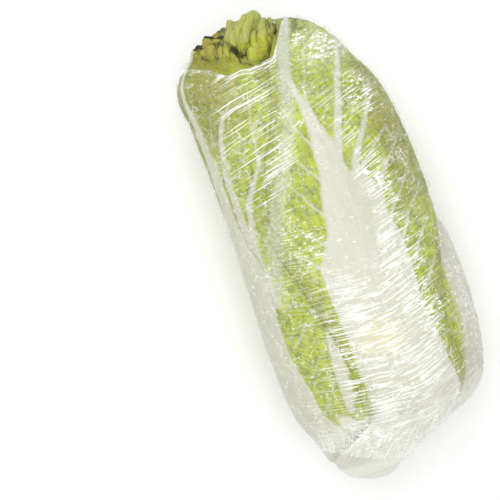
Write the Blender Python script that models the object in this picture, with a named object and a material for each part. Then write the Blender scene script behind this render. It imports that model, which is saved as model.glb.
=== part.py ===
"""A head of napa cabbage on its side, wrapped in clear film that leaves its leaf tips and its cut stem bare.

The head's long axis runs along +Y, from the cut stem to the leaf tips, and it rests on the plane z = 0.
Every point is given by three numbers. turn is the angle round the head's axis, in radians, from +X towards +Z.
along is the share of the way from the stem's end (0) to the tips (1), counted over the head's outside.
depth is how far the point lies under that outside, in metres. The film is outermost, and each leaf has a layer
of its own under the film and under every leaf that lies over it, so that no two pieces meet.
"""

import math
from collections import namedtuple

import bmesh
import bpy
import numpy as np

# The outside of the wrapped head, as ovals across its axis, from the stem to the tips, in metres: y, x of the
# middle, half the width, z of the middle, half the height, and how far the -X side runs ahead of the middle.
RINGS = np.array(
    (
        (-0.1650, -0.0280, 0.0000, 0.0500, 0.0000, 0.0000),
        (-0.1570, -0.0270, 0.0195, 0.0505, 0.0185, 0.0000),
        (-0.1440, -0.0190, 0.0370, 0.0525, 0.0340, 0.0000),
        (-0.1270, -0.0050, 0.0570, 0.0550, 0.0500, 0.0015),
        (-0.1040, -0.0020, 0.0680, 0.0590, 0.0585, 0.0020),
        (-0.0600, 0.0000, 0.0722, 0.0605, 0.0625, 0.0000),
        (0.0000, 0.0005, 0.0708, 0.0600, 0.0620, 0.0000),
        (0.0550, 0.0000, 0.0695, 0.0585, 0.0600, 0.0000),
        (0.0950, -0.0030, 0.0672, 0.0565, 0.0545, 0.0040),
        (0.1220, -0.0090, 0.0620, 0.0540, 0.0460, 0.0060),
        (0.1415, -0.0080, 0.0500, 0.0530, 0.0350, 0.0040),
        (0.1530, -0.0030, 0.0300, 0.0520, 0.0210, 0.0020),
        (0.1600, -0.0010, 0.0000, 0.0520, 0.0000, 0.0000),
    )
)
RING_STATIONS = np.linspace(0, 1, len(RINGS))
AXIS_REACH = 0.115  # depth runs towards a point of the axis that is never further than this from y = 0
LEAST_RADIUS = 0.012  # widths near the two ends are turned into angles with at least this radius

FILM_THICKNESS = 0.0008
FILM_GAP = 0.0007
FILM_STEM_EDGE = 0.150  # where the film ends round the stem, above and underneath
FILM_STEM_SLANT = 0.06  # how much further up the head it ends on the left, and further down on the right
FILM_STEM_LIFT = 0.03  # how much further up it ends on both sides
# How far along the head the film's mouth lies at each turn: the leaf tips stay bare between 62 and 236 degrees.
MOUTH_TURNS = np.radians((0, 45, 62, 82, 113, 125, 150, 182, 236, 360))
MOUTH_ALONG = np.array((0.925, 0.925, 0.890, 0.770, 0.755, 0.780, 0.806, 0.828, 0.925, 0.925))
FILM_COLUMNS = 40
FILM_ROWS = 23

LEAF_GAP = 0.0012  # clear space between one leaf's layer and the next
BLADE_THICKNESS = 0.0014
EDGE_THICKNESS = 0.0009
BLADE_RECESS = 0.0013  # how far the blade lies under the crest of its rib
VEIN_RIDGE = 0.0009  # how far a side vein stands up from the blade
EDGE_WAVE = 0.0009  # how far the blade's edge waves in and out
FOOT_CHAMFER = 0.0022  # how far the foot's outer face slopes in towards the stem
EDGE_SCALLOP = 0.045  # share of its reach by which the edge's outline waves
SCALLOPS = 11.0
VEIN_CLIMB = 0.40  # how far a side vein climbs towards the tips for each metre that it goes outwards
BLANKET = 0.034  # how far beyond a leaf's edge the leaves under it take to rise to the surface
BLANKET_AT_STEM = 0.010  # the same, near the stem
BLANKET_BELOW = 0.012  # the same, below the foot of a leaf
LENGTH_OF_ALONG = 0.42  # metres of the head's outside for a change of 1 in along

# How thick a leaf's layer is on its way from the stem to the tips.
LAYER_STATIONS = np.array((0.10, 0.18, 0.27, 0.42, 0.55, 0.70, 0.85, 1.0))
LAYER_THICKNESS = np.array((0.0045, 0.0062, 0.0072, 0.0066, 0.0052, 0.0040, 0.0034, 0.0032))

# A leaf's stations are rows of: along, turn of its midrib in degrees, half the width of the white rib, and its
# reach from the midrib towards smaller and towards larger turn, in metres.
Leaf = namedtuple("Leaf", "name foot tip columns rows stations")
RIB_COLUMNS = 4  # of a leaf's columns, those that make its rib

FRONT_LEAF = Leaf(
    name="leaf_front",
    foot=0.105,
    tip=0.945,
    columns=18,
    rows=24,
    stations=np.array(
        (
            (0.10, 90, 0.020, 0.022, 0.022),
            (0.17, 84, 0.028, 0.031, 0.030),
            (0.25, 76, 0.034, 0.041, 0.038),
            (0.33, 76, 0.034, 0.044, 0.040),
            (0.42, 80, 0.031, 0.045, 0.041),
            (0.47, 80, 0.030, 0.064, 0.050),
            (0.51, 79, 0.022, 0.090, 0.062),
            (0.56, 79, 0.013, 0.108, 0.055),
            (0.64, 80, 0.006, 0.112, 0.028),
            (0.74, 79, 0.003, 0.098, 0.010),
            (0.83, 70, 0.002, 0.064, 0.006),
            (0.91, 58, 0.001, 0.026, 0.004),
            (0.95, 55, 0.001, 0.008, 0.002),
        )
    ),
)

LEFT_LEAF = Leaf(
    name="leaf_left",
    foot=0.115,
    tip=0.86,
    columns=16,
    rows=22,
    stations=np.array(
        (
            (0.10, 172, 0.018, 0.024, 0.022),
            (0.17, 168, 0.026, 0.048, 0.034),
            (0.25, 166, 0.029, 0.071, 0.044),
            (0.33, 164, 0.029, 0.078, 0.056),
            (0.42, 163, 0.028, 0.080, 0.066),
            (0.50, 161, 0.021, 0.086, 0.078),
            (0.58, 159, 0.012, 0.088, 0.084),
            (0.66, 158, 0.006, 0.084, 0.080),
            (0.73, 157, 0.004, 0.076, 0.066),
            (0.77, 157, 0.003, 0.062, 0.048),
            (0.79, 157, 0.002, 0.050, 0.036),
            (0.82, 157, 0.002, 0.028, 0.020),
            (0.86, 157, 0.001, 0.009, 0.008),
        )
    ),
)

# The other leaves share one outline, as rows of: along, half the width of the rib, and reach.
WHOLE_LEAF = (
    (0.10, 0.018, 0.021),
    (0.17, 0.026, 0.030),
    (0.25, 0.029, 0.037),
    (0.33, 0.029, 0.046),
    (0.42, 0.028, 0.060),
    (0.50, 0.022, 0.078),
    (0.58, 0.013, 0.090),
    (0.67, 0.006, 0.092),
    (0.75, 0.003, 0.080),
    (0.83, 0.002, 0.052),
    (0.89, 0.001, 0.020),
    (0.93, 0.001, 0.008),
)


def whole_leaf(name, foot, tip, turn_at_foot, turn_at_tip, size=1.0, columns=16, rows=20):
    """A leaf with the shared outline, whose midrib runs from one turn to another and whose blade is size wide."""
    stations = [
        (along, turn_at_foot + (turn_at_tip - turn_at_foot) * along, rib * size, reach * size, reach * size)
        for along, rib, reach in WHOLE_LEAF
    ]
    return Leaf(name, foot, tip, columns, rows, np.array(stations))


# From the outermost leaf to the innermost: each lies under all those before it.
LEAVES = (
    FRONT_LEAF,
    LEFT_LEAF,
    whole_leaf("leaf_right", 0.13, 0.885, 10, 15, 0.92, rows=18),
    whole_leaf("leaf_back", 0.125, 0.885, 268, 262, 1.0, rows=18),
    whole_leaf("leaf_inner_left", 0.19, 0.905, 214, 205, 0.80, columns=14, rows=16),
    whole_leaf("leaf_inner_right", 0.19, 0.900, 318, 322, 0.80, columns=14, rows=16),
    whole_leaf("leaf_inner_front", 0.20, 0.945, 126, 112, 0.80, columns=14, rows=16),
)

STEM_ALONG = 0.235  # where the stem's side ends inside the head
STEM_GAP_START = 0.085
STEM_CORE_END = (-0.004, -0.072, 0.058)  # the tip of the core that it sends up into the heart
STEM_GAP = 0.0016  # its clear space under the leaves' feet
STEM_COLUMNS = 30
STEM_SIDE_ROWS = 12
STEM_CORE_ROWS = 3
CUT_CENTRE = (-0.028, -0.1580, 0.0500)  # a point of the flat face that the knife left
CUT_NORMAL = (-0.25, -0.95, -0.18)

HEART_ALONG = 0.262  # where the heart's side starts above the stem
HEART_TOP_ALONG = 0.92  # and where it ends under its leaf tips
HEART_GAP = 0.0014  # its clear space under the innermost leaves
HEART_FOOT = (-0.004, -0.062, 0.058)
HEART_TOP = (-0.004, 0.1465, 0.0525)
HEART_SINK = 0.0045  # how far the heart's body lies under its leaf tips
HEART_SINK_START = 0.66
HEART_COLUMNS = 28
HEART_FOOT_ROWS = 3
HEART_SIDE_ROWS = 11
HEART_TOP_ROWS = 1

# The curled leaf tips that stand out of the heart, as rows of: the turn of the middle and half the spread in
# degrees, where the top edge is along the head, and the depth under the leaves round it.
TIPS = (
    (142, 62, 0.925, 0.0012),
    (318, 66, 0.885, 0.0030),
    (92, 74, 0.962, 0.0052),
    (232, 70, 0.900, 0.0030),
    (20, 70, 0.940, 0.0040),
)
TIP_ROOT_ALONG = 0.745
TIP_THICKNESS = 0.0013
TIP_RUFFLE = 0.0034
TIP_RUFFLES = 10.0  # waves in one turn
TIP_COLUMNS = 14
TIP_ROWS = 3

SMALLEST_MERGE = 0.000002


def clear_scene():
    for thing in list(bpy.data.objects):
        bpy.data.objects.remove(thing)


def plain_material(name, colour, roughness, alpha=1.0):
    material = bpy.data.materials.new(name)
    material.use_nodes = True
    shader = material.node_tree.nodes["Principled BSDF"]
    shader.inputs["Base Color"].default_value = (*colour, 1.0)
    shader.inputs["Roughness"].default_value = roughness
    shader.inputs["Metallic"].default_value = 0.0
    shader.inputs["Alpha"].default_value = alpha
    material.diffuse_color = (*colour, alpha)
    return material


def smooth_through(stations, values, at):
    """A smooth curve through values at the stations, read at each point of at."""
    at = np.clip(at, stations[0], stations[-1])
    i = np.clip(np.searchsorted(stations, at) - 1, 0, len(stations) - 2)
    slopes = np.gradient(values, stations)
    step = stations[i + 1] - stations[i]
    t = (at - stations[i]) / step
    start = (1 + 2 * t) * (1 - t) ** 2 * values[i] + t * (1 - t) ** 2 * step * slopes[i]
    end = t**2 * (3 - 2 * t) * values[i + 1] - t**2 * (1 - t) * step * slopes[i + 1]
    return start + end


def ease(x):
    """0 below 0, 1 above 1, and a smooth rise between them."""
    x = np.clip(x, 0, 1)
    return x * x * (3 - 2 * x)


def ring_values(along):
    return [smooth_through(RING_STATIONS, RINGS[:, column], along) for column in range(RINGS.shape[1])]


def radius_at(along):
    _, _, half_width, _, half_height, _ = ring_values(along)
    return np.maximum((half_width + half_height) / 2, LEAST_RADIUS)


def place(turn, along, depth):
    """Points of the head, as rows of x, y and z. The lowest part of the outside is flattened to z = 0."""
    y, x_middle, half_width, z_middle, half_height, lead = ring_values(along)
    outside = np.stack(
        (
            x_middle + half_width * np.cos(turn),
            y - lead * np.cos(turn),
            np.maximum(z_middle + half_height * np.sin(turn), 0.0),
        ),
        axis=-1,
    )
    axis_y = AXIS_REACH * np.tanh(y / AXIS_REACH)
    inwards = np.stack((x_middle, axis_y, z_middle), axis=-1) - outside
    length = np.linalg.norm(inwards, axis=-1)
    return outside + inwards * (depth / length)[..., None]


def across(angle):
    """An angle brought between minus half a turn and half a turn."""
    return (angle + math.pi) % (2 * math.pi) - math.pi


def station(leaf, along):
    """The midrib's turn, half the rib's width, and the reach to both sides, where the leaf crosses along."""
    columns = [smooth_through(leaf.stations[:, 0], leaf.stations[:, n], along) for n in range(1, 5)]
    return np.radians(columns[0]), columns[1], columns[2], columns[3]


def layer_thickness(along):
    return smooth_through(LAYER_STATIONS, LAYER_THICKNESS, along)


def cover(leaf, turn, along):
    """1 under the leaf, and down to 0 as the layers beneath it rise to the surface beyond its edge."""
    midrib, _, low_reach, high_reach = station(leaf, along)
    offset = across(turn - midrib) * radius_at(along)
    beyond_side = np.where(offset < 0, -offset - low_reach, offset - high_reach)
    beyond_tip = (along - leaf.tip) * LENGTH_OF_ALONG
    below_foot = (leaf.foot - along) * LENGTH_OF_ALONG
    blanket = BLANKET_AT_STEM + (BLANKET - BLANKET_AT_STEM) * ease((along - 0.13) / 0.17)
    beside = 1 - ease((np.maximum(beyond_side, beyond_tip) - 0.002) / blanket)
    return beside * (1 - ease((below_foot - 0.003) / BLANKET_BELOW))


def ceiling(count, turn, along):
    """The depth at which the layer under the film and under the first count leaves starts."""
    total = np.full(np.shape(turn), FILM_THICKNESS + FILM_GAP)
    for leaf in LEAVES[:count]:
        total = total + (layer_thickness(along) + LEAF_GAP) * cover(leaf, turn, along)
    return total


def leaf_points(number, column, t, inner):
    """Points of a leaf's two faces. column runs from -1 to 1 across it, t from 0 to 1 up it, inner is 0 or 1."""
    leaf = LEAVES[number]
    rib_share = RIB_COLUMNS / leaf.columns
    on_blade = np.clip((np.abs(column) - rib_share) / (1 - rib_share), 0, 1)
    along = leaf.foot + (leaf.tip - leaf.foot) * t
    _, rib, low_reach, high_reach = station(leaf, along)
    blade_width = np.where(column < 0, low_reach, high_reach) - rib
    along = along + VEIN_CLIMB * on_blade * blade_width / LENGTH_OF_ALONG * np.sin(math.pi * t)
    midrib, rib, low_reach, high_reach = station(leaf, along)
    reach = np.where(column < 0, low_reach, high_reach)
    reach = reach * (1 - EDGE_SCALLOP * np.abs(np.sin(SCALLOPS * math.pi * t + number)))
    beside = np.minimum(np.abs(column) / rib_share, 1) * rib + on_blade * (reach - rib)
    offset = beside * np.sign(column)
    turn = midrib + offset / radius_at(along)

    thickness = layer_thickness(along)
    on_rib = 1 - ease((np.abs(offset) / rib - 0.62) / 0.5)
    near_edge = ease((on_blade - 0.45) / 0.55)
    row = np.round(t * leaf.rows)
    vein = (row % 2) * (1 - near_edge) * (1 - on_rib) * np.sin(math.pi * t)
    wave = near_edge * np.sin(2 * math.pi * SCALLOPS * t) * EDGE_WAVE
    outer_face = BLADE_RECESS * (1 - on_rib) - VEIN_RIDGE * vein + wave
    blade = BLADE_THICKNESS + (EDGE_THICKNESS - BLADE_THICKNESS) * near_edge
    inner_face = outer_face + blade + (thickness - blade) * on_rib * 0.98
    outer_face = outer_face + FOOT_CHAMFER * (1 - ease(t / 0.05)) * on_rib
    depth = ceiling(number, turn, along) + np.where(inner > 0.5, inner_face, outer_face)
    return place(turn, along, depth)


def film_points(q, t, inner):
    """Points of the film's two faces. q runs once round the head, and t from the stem's edge to the mouth."""
    turn = 2 * math.pi * q
    mouth = np.interp(turn, MOUTH_TURNS, MOUTH_ALONG)
    stem_edge = FILM_STEM_EDGE - FILM_STEM_SLANT * np.cos(turn) + FILM_STEM_LIFT * np.cos(turn) ** 2
    along = stem_edge + (mouth - stem_edge) * t
    return place(turn, along, FILM_THICKNESS * inner)


def stem_points(q, t):
    """Points of the stem: its side under the leaves' feet, then the core that it sends up into the heart."""
    turn = 2 * math.pi * q
    row = t * (STEM_SIDE_ROWS + STEM_CORE_ROWS)
    along = STEM_ALONG * np.minimum(row / STEM_SIDE_ROWS, 1)
    under_leaves = ease((along - STEM_GAP_START) / 0.03)
    side = place(turn, along, ceiling(len(LEAVES), turn, along) + STEM_GAP * under_leaves)
    inwards = np.clip((row - STEM_SIDE_ROWS) / STEM_CORE_ROWS, 0, 1)[..., None]
    return side + (np.array(STEM_CORE_END) - side) * inwards


def heart_points(q, t):
    """Points of the heart's body: its hollow foot over the stem's core, its side, and its top under the tips."""
    turn = 2 * math.pi * q
    row = t * (HEART_FOOT_ROWS + HEART_SIDE_ROWS + HEART_TOP_ROWS) - HEART_FOOT_ROWS
    along = HEART_ALONG + (HEART_TOP_ALONG - HEART_ALONG) * np.clip(row / HEART_SIDE_ROWS, 0, 1)
    sink = HEART_GAP + (HEART_SINK - HEART_GAP) * ease((along - HEART_SINK_START) / 0.10)
    side = place(turn, along, ceiling(len(LEAVES), turn, along) + sink)
    below = np.clip(-row / HEART_FOOT_ROWS, 0, 1)[..., None]
    above = np.clip((row - HEART_SIDE_ROWS) / HEART_TOP_ROWS, 0, 1)[..., None]
    points = side + (np.array(HEART_FOOT) - side) * below
    return points + (np.array(HEART_TOP) - points) * above


def tip_points(row, q, t, inner):
    """Points of one curled leaf tip. q runs from -1 to 1 across it, and t from its root to its ruffled top."""
    middle, spread, top, depth = row
    turn = math.radians(middle) + math.radians(spread) * q
    ends = 1 - 0.35 * np.abs(q) ** 3
    along = TIP_ROOT_ALONG + (top - TIP_ROOT_ALONG) * ends * t
    along = along + 0.007 * t * np.sin(17 * turn + middle)
    ruffle = TIP_RUFFLE * t**1.4 * (0.5 + 0.5 * np.sin(TIP_RUFFLES * turn + middle))
    lies = ceiling(len(LEAVES), turn, along) + depth * ease(t / 0.4) + HEART_SINK * (1 - ease(t / 0.4))
    return place(turn, along, lies + ruffle + TIP_THICKNESS * inner)


def unit_grid(columns, rows):
    """A bmesh of triangles that covers x and y from 0 to 1, with the same diagonal in every square."""
    grid = bmesh.new()
    bmesh.ops.create_grid(grid, x_segments=columns, y_segments=rows, size=0.5)
    bmesh.ops.translate(grid, vec=(0.5, 0.5, 0.0), verts=grid.verts)
    bmesh.ops.triangulate(grid, faces=grid.faces, quad_method="FIXED")
    return grid


def add_second_face(grid):
    """Makes the grid a slab of height 1, with walls round its border."""
    made = bmesh.ops.extrude_face_region(grid, geom=grid.faces, use_keep_orig=True)
    raised = [item for item in made["geom"] if isinstance(item, bmesh.types.BMVert)]
    bmesh.ops.translate(grid, vec=(0.0, 0.0, 1.0), verts=raised)


def open_seam(grid):
    """Deletes the walls at x = 0 and x = 1, where the slab will meet itself round the head."""
    walls = [
        face
        for face in grid.faces
        if all(vert.co.x < 1e-4 for vert in face.verts) or all(vert.co.x > 1 - 1e-4 for vert in face.verts)
    ]
    bmesh.ops.delete(grid, geom=walls, context="FACES")


def bend(grid, points_of):
    """Moves each vertex from its place in the unit grid to its place on the head."""
    at = np.array([vert.co for vert in grid.verts])
    for vert, point in zip(grid.verts, points_of(at[:, 0], at[:, 1], at[:, 2])):
        vert.co = point
    bmesh.ops.remove_doubles(grid, verts=grid.verts, dist=SMALLEST_MERGE)
    bmesh.ops.dissolve_degenerate(grid, edges=grid.edges, dist=SMALLEST_MERGE)
    bmesh.ops.triangulate(grid, faces=[face for face in grid.faces if len(face.verts) > 3])
    bmesh.ops.recalc_face_normals(grid, faces=grid.faces)


def finish(grid, name, materials, parent):
    """Turns the grid into a named object under parent."""
    mesh = bpy.data.meshes.new(name)
    grid.to_mesh(mesh)
    grid.free()
    mesh.shade_smooth()
    mesh.set_sharp_from_angle(angle=math.radians(50))
    for material in materials:
        mesh.materials.append(material)
    made = bpy.data.objects.new(name, mesh)
    bpy.context.scene.collection.objects.link(made)
    made.parent = parent
    return made


def leaf_object(number, rib_material, blade_material, parent):
    """A leaf with its white rib and green blade grown as one solid, each face in its own colour."""
    leaf = LEAVES[number]
    grid = unit_grid(leaf.columns, leaf.rows)
    add_second_face(grid)
    for face in grid.faces:
        column = 2 * face.calc_center_median().x - 1
        face.material_index = 0 if abs(column) < RIB_COLUMNS / leaf.columns else 1
    bend(grid, lambda x, y, z: leaf_points(number, 2 * x - 1, y, z))
    return finish(grid, leaf.name, (rib_material, blade_material), parent)


def film_object(material, parent):
    grid = unit_grid(FILM_COLUMNS, FILM_ROWS)
    add_second_face(grid)
    open_seam(grid)
    bend(grid, film_points)
    return finish(grid, "film", (material,), parent)


def stem_object(material, parent):
    """The cut stem: its round end is sliced off flat, as the knife left it."""
    grid = unit_grid(STEM_COLUMNS, STEM_SIDE_ROWS + STEM_CORE_ROWS)
    bend(grid, lambda x, y, z: stem_points(x, y))
    everything = [*grid.verts, *grid.edges, *grid.faces]
    cut = bmesh.ops.bisect_plane(grid, geom=everything, plane_co=CUT_CENTRE, plane_no=CUT_NORMAL, clear_outer=True)
    rim = [item for item in cut["geom_cut"] if isinstance(item, bmesh.types.BMEdge)]
    bmesh.ops.contextual_create(grid, geom=rim)
    bmesh.ops.recalc_face_normals(grid, faces=grid.faces)
    return finish(grid, "stem", (material,), parent)


def drop_sealed_gaps(mesh):
    """Fills the small gaps shut in between the body and its tips: all but the outermost shell goes."""
    shape = bmesh.new()
    shape.from_mesh(mesh)
    top = max(shape.verts, key=lambda vert: vert.co.z)
    outer = {top}
    edge_of_search = [top]
    while edge_of_search:
        vert = edge_of_search.pop()
        for link in vert.link_edges:
            other = link.other_vert(vert)
            if other not in outer:
                outer.add(other)
                edge_of_search.append(other)
    inside = [vert for vert in shape.verts if vert not in outer]
    bmesh.ops.delete(shape, geom=inside, context="VERTS")
    bmesh.ops.triangulate(shape, faces=[face for face in shape.faces if len(face.verts) > 3])
    shape.to_mesh(mesh)
    shape.free()


def tip_collection(material):
    """The heart's curled leaf tips, as separate objects in a collection of their own."""
    tips = bpy.data.collections.new("tips")
    bpy.context.scene.collection.children.link(tips)
    for number, row in enumerate(TIPS):
        grid = unit_grid(TIP_COLUMNS, TIP_ROWS)
        add_second_face(grid)
        bend(grid, lambda x, y, z, row=row: tip_points(row, 2 * x - 1, y, z))
        tip = finish(grid, f"tip_{number}", (material,), None)
        bpy.context.scene.collection.objects.unlink(tip)
        tips.objects.link(tip)
    return tips


def heart_object(material, parent):
    """The inner leaves: a dense body with the curled leaf tips standing out of its top, joined into one solid."""
    grid = unit_grid(HEART_COLUMNS, HEART_FOOT_ROWS + HEART_SIDE_ROWS + HEART_TOP_ROWS)
    bend(grid, lambda x, y, z: heart_points(x, y))
    heart = finish(grid, "heart", (material,), parent)
    tips = tip_collection(material)
    union = heart.modifiers.new("tips", "BOOLEAN")
    union.operation = "UNION"
    union.operand_type = "COLLECTION"
    union.solver = "EXACT"
    union.collection = tips
    bpy.context.view_layer.update()
    joined = bpy.data.meshes.new_from_object(heart.evaluated_get(bpy.context.evaluated_depsgraph_get()))
    heart.modifiers.remove(union)
    heart.data = joined
    joined.name = "heart"
    drop_sealed_gaps(joined)
    for tip in list(tips.objects):
        bpy.data.objects.remove(tip)
    bpy.data.collections.remove(tips)
    return heart


def main():
    clear_scene()
    head = bpy.data.objects.new("napa_cabbage", None)
    bpy.context.scene.collection.objects.link(head)
    rib = plain_material("rib", (0.80, 0.80, 0.68), 0.45)
    blade = plain_material("blade", (0.48, 0.58, 0.13), 0.55)
    heart = plain_material("heart", (0.52, 0.56, 0.12), 0.6)
    stem = plain_material("stem", (0.80, 0.79, 0.66), 0.5)
    film = plain_material("film", (0.95, 0.97, 0.97), 0.12, alpha=0.2)
    for number in range(len(LEAVES)):
        leaf_object(number, rib, blade, head)
    heart_object(heart, head)
    stem_object(stem, head)
    film_object(film, head)


main()
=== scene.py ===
"""A napa cabbage on its side in clear film, seen from straight above on a pale floor.

The head's long axis runs along +Y, from the cut stem to the leaf tips. Three numbers give every point of it.
turn is the angle round the axis, in radians, from +X towards +Z. along is the share of the way from the
stem's end (0) to the tips (1). depth is how far the point lies under the head's outside, in metres. The film
is outermost, and each leaf has a layer of its own under the film and under every leaf that lies over it.
"""

import math
from collections import namedtuple

import bmesh
import bpy
import numpy as np
from mathutils import Matrix, Vector


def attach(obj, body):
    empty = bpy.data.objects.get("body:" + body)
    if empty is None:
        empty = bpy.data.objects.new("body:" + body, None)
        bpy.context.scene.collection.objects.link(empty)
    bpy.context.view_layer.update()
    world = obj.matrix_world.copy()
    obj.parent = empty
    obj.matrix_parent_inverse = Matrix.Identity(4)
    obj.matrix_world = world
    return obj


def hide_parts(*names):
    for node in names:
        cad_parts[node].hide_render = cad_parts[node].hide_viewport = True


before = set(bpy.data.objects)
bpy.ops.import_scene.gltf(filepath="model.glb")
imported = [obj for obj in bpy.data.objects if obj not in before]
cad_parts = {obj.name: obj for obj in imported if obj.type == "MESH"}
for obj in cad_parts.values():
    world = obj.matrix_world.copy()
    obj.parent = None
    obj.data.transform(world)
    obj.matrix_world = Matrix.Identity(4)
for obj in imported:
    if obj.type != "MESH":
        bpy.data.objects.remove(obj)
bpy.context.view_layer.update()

MM = 0.001

# The outside of the wrapped head, as ovals across its axis, from the stem to the tips, in metres: y, x of the
# middle, half the width, z of the middle, half the height, and how far the -X side runs ahead of the middle.
RINGS = np.array(
    (
        (-0.1650, -0.0280, 0.0000, 0.0500, 0.0000, 0.0000),
        (-0.1570, -0.0270, 0.0195, 0.0505, 0.0185, 0.0000),
        (-0.1440, -0.0190, 0.0370, 0.0525, 0.0340, 0.0000),
        (-0.1270, -0.0050, 0.0570, 0.0550, 0.0500, 0.0015),
        (-0.1040, -0.0020, 0.0680, 0.0590, 0.0585, 0.0020),
        (-0.0600, 0.0000, 0.0722, 0.0605, 0.0625, 0.0000),
        (0.0000, 0.0005, 0.0708, 0.0600, 0.0620, 0.0000),
        (0.0550, 0.0000, 0.0695, 0.0585, 0.0600, 0.0000),
        (0.0950, -0.0030, 0.0672, 0.0565, 0.0545, 0.0040),
        (0.1220, -0.0090, 0.0620, 0.0540, 0.0460, 0.0060),
        (0.1415, -0.0080, 0.0500, 0.0530, 0.0350, 0.0040),
        (0.1530, -0.0030, 0.0300, 0.0520, 0.0210, 0.0020),
        (0.1600, -0.0010, 0.0000, 0.0520, 0.0000, 0.0000),
    )
)
RING_STATIONS = np.linspace(0, 1, len(RINGS))
AXIS_REACH = 0.115  # depth runs towards a point of the axis that is never further than this from y = 0
LEAST_RADIUS = 0.012  # widths near the two ends are turned into angles with at least this radius
LENGTH_OF_ALONG = 0.42  # metres of the head's outside for a change of 1 in along

FILM_ROOM = 0.0015  # the depth that the film has for itself
FILM_STEM_EDGE = 0.150  # where the film ends round the stem, above and underneath
FILM_STEM_SLANT = 0.06  # how much further up the head it ends on the left, and further down on the right
FILM_STEM_LIFT = 0.03  # how much further up it ends on both sides
# How far along the head the film's mouth lies at each turn. The tips stay bare between 62 and 236 degrees.
MOUTH_TURNS = np.radians((0, 45, 62, 82, 113, 125, 150, 182, 236, 360))
MOUTH_ALONG = np.array((0.925, 0.925, 0.890, 0.770, 0.755, 0.780, 0.806, 0.828, 0.925, 0.925))
MOUTH_RAGGED = 0.018  # how far the mouth's edge wavers
TIP_RISE = 0.0012  # how far the leaf tips rise where no film holds them
TIP_PUFF = 0.0066  # how far they puff out between their creases there
TIP_SWAY = 0.0050  # how far they sway to all sides there
TIP_PLEAT = 0.0012  # how high their broad pleats stand there
# The pleats between their creases: width, length, share of the puff, and seed.
PLEATS = ((0.0088, 0.0280, 0.6, 50), (0.0046, 0.0100, 0.4, 54))

LEAF_GAP = 0.0012  # clear space between one leaf's layer and the next, and less near the stem
BLANKET = 0.034  # how far beyond a leaf's edge the leaves under it take to rise to the surface
BLANKET_AT_STEM = 0.010  # the same, near the stem
# How thick a leaf's layer is on its way from the stem to the tips.
LAYER_STATIONS = np.array((0.10, 0.18, 0.27, 0.42, 0.55, 0.70, 0.85, 1.0))
LAYER_THICKNESS = np.array((0.0014, 0.0030, 0.0072, 0.0066, 0.0052, 0.0040, 0.0034, 0.0032))

# A leaf's stations are rows of: along, turn of its midrib in degrees, half the width of the white rib, and
# its reach from the midrib towards smaller and towards larger turn, in metres.
Leaf = namedtuple("Leaf", "name foot tip stations")

FRONT_LEAF = Leaf(
    name="leaf_front",
    foot=0.088,
    tip=0.945,
    stations=np.array(
        (
            (0.08, 90, 0.030, 0.040, 0.040),
            (0.10, 90, 0.030, 0.050, 0.050),
            (0.17, 88, 0.036, 0.055, 0.055),
            (0.21, 82, 0.036, 0.048, 0.046),
            (0.25, 76, 0.034, 0.041, 0.038),
            (0.33, 76, 0.034, 0.044, 0.040),
            (0.42, 80, 0.031, 0.045, 0.041),
            (0.47, 80, 0.030, 0.064, 0.050),
            (0.51, 79, 0.022, 0.090, 0.062),
            (0.56, 79, 0.013, 0.108, 0.055),
            (0.64, 80, 0.006, 0.112, 0.028),
            (0.74, 79, 0.003, 0.098, 0.010),
            (0.83, 70, 0.002, 0.064, 0.006),
            (0.91, 58, 0.001, 0.026, 0.004),
            (0.95, 55, 0.001, 0.008, 0.002),
        )
    ),
)

LEFT_LEAF = Leaf(
    name="leaf_left",
    foot=0.115,
    tip=0.86,
    stations=np.array(
        (
            (0.10, 172, 0.024, 0.040, 0.030),
            (0.17, 168, 0.028, 0.052, 0.036),
            (0.25, 166, 0.029, 0.071, 0.044),
            (0.33, 164, 0.029, 0.078, 0.056),
            (0.42, 163, 0.028, 0.080, 0.066),
            (0.50, 161, 0.021, 0.086, 0.078),
            (0.58, 159, 0.012, 0.088, 0.084),
            (0.66, 158, 0.006, 0.084, 0.080),
            (0.73, 157, 0.004, 0.076, 0.066),
            (0.77, 157, 0.003, 0.062, 0.048),
            (0.79, 157, 0.002, 0.050, 0.036),
            (0.82, 157, 0.002, 0.028, 0.020),
            (0.86, 157, 0.001, 0.009, 0.008),
        )
    ),
)

# The other leaves share one outline, as rows of: along, half the width of the rib, and reach.
WHOLE_LEAF = (
    (0.10, 0.024, 0.032),
    (0.17, 0.028, 0.036),
    (0.25, 0.029, 0.037),
    (0.33, 0.029, 0.046),
    (0.42, 0.028, 0.060),
    (0.50, 0.022, 0.078),
    (0.58, 0.013, 0.090),
    (0.67, 0.006, 0.092),
    (0.75, 0.003, 0.080),
    (0.83, 0.002, 0.052),
    (0.89, 0.001, 0.020),
    (0.93, 0.001, 0.008),
)


def whole_leaf(name, foot, tip, turn_at_foot, turn_at_tip, size=1.0):
    """A leaf with the shared outline, made size times as wide, whose midrib goes from one turn to another."""
    stations = [
        (along, turn_at_foot + (turn_at_tip - turn_at_foot) * along, rib * size, reach * size, reach * size)
        for along, rib, reach in WHOLE_LEAF
    ]
    return Leaf(name, foot, tip, np.array(stations))


# From the outermost leaf to the innermost: each lies under all those before it.
LEAVES = (
    FRONT_LEAF,
    LEFT_LEAF,
    whole_leaf("leaf_right", 0.13, 0.885, 10, 15, 0.92),
    whole_leaf("leaf_back", 0.125, 0.885, 268, 262, 1.0),
    whole_leaf("leaf_inner_left", 0.19, 0.905, 214, 205, 0.80),
    whole_leaf("leaf_inner_right", 0.19, 0.900, 318, 322, 0.80),
    whole_leaf("leaf_inner_front", 0.20, 0.945, 126, 112, 0.80),
)

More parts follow.
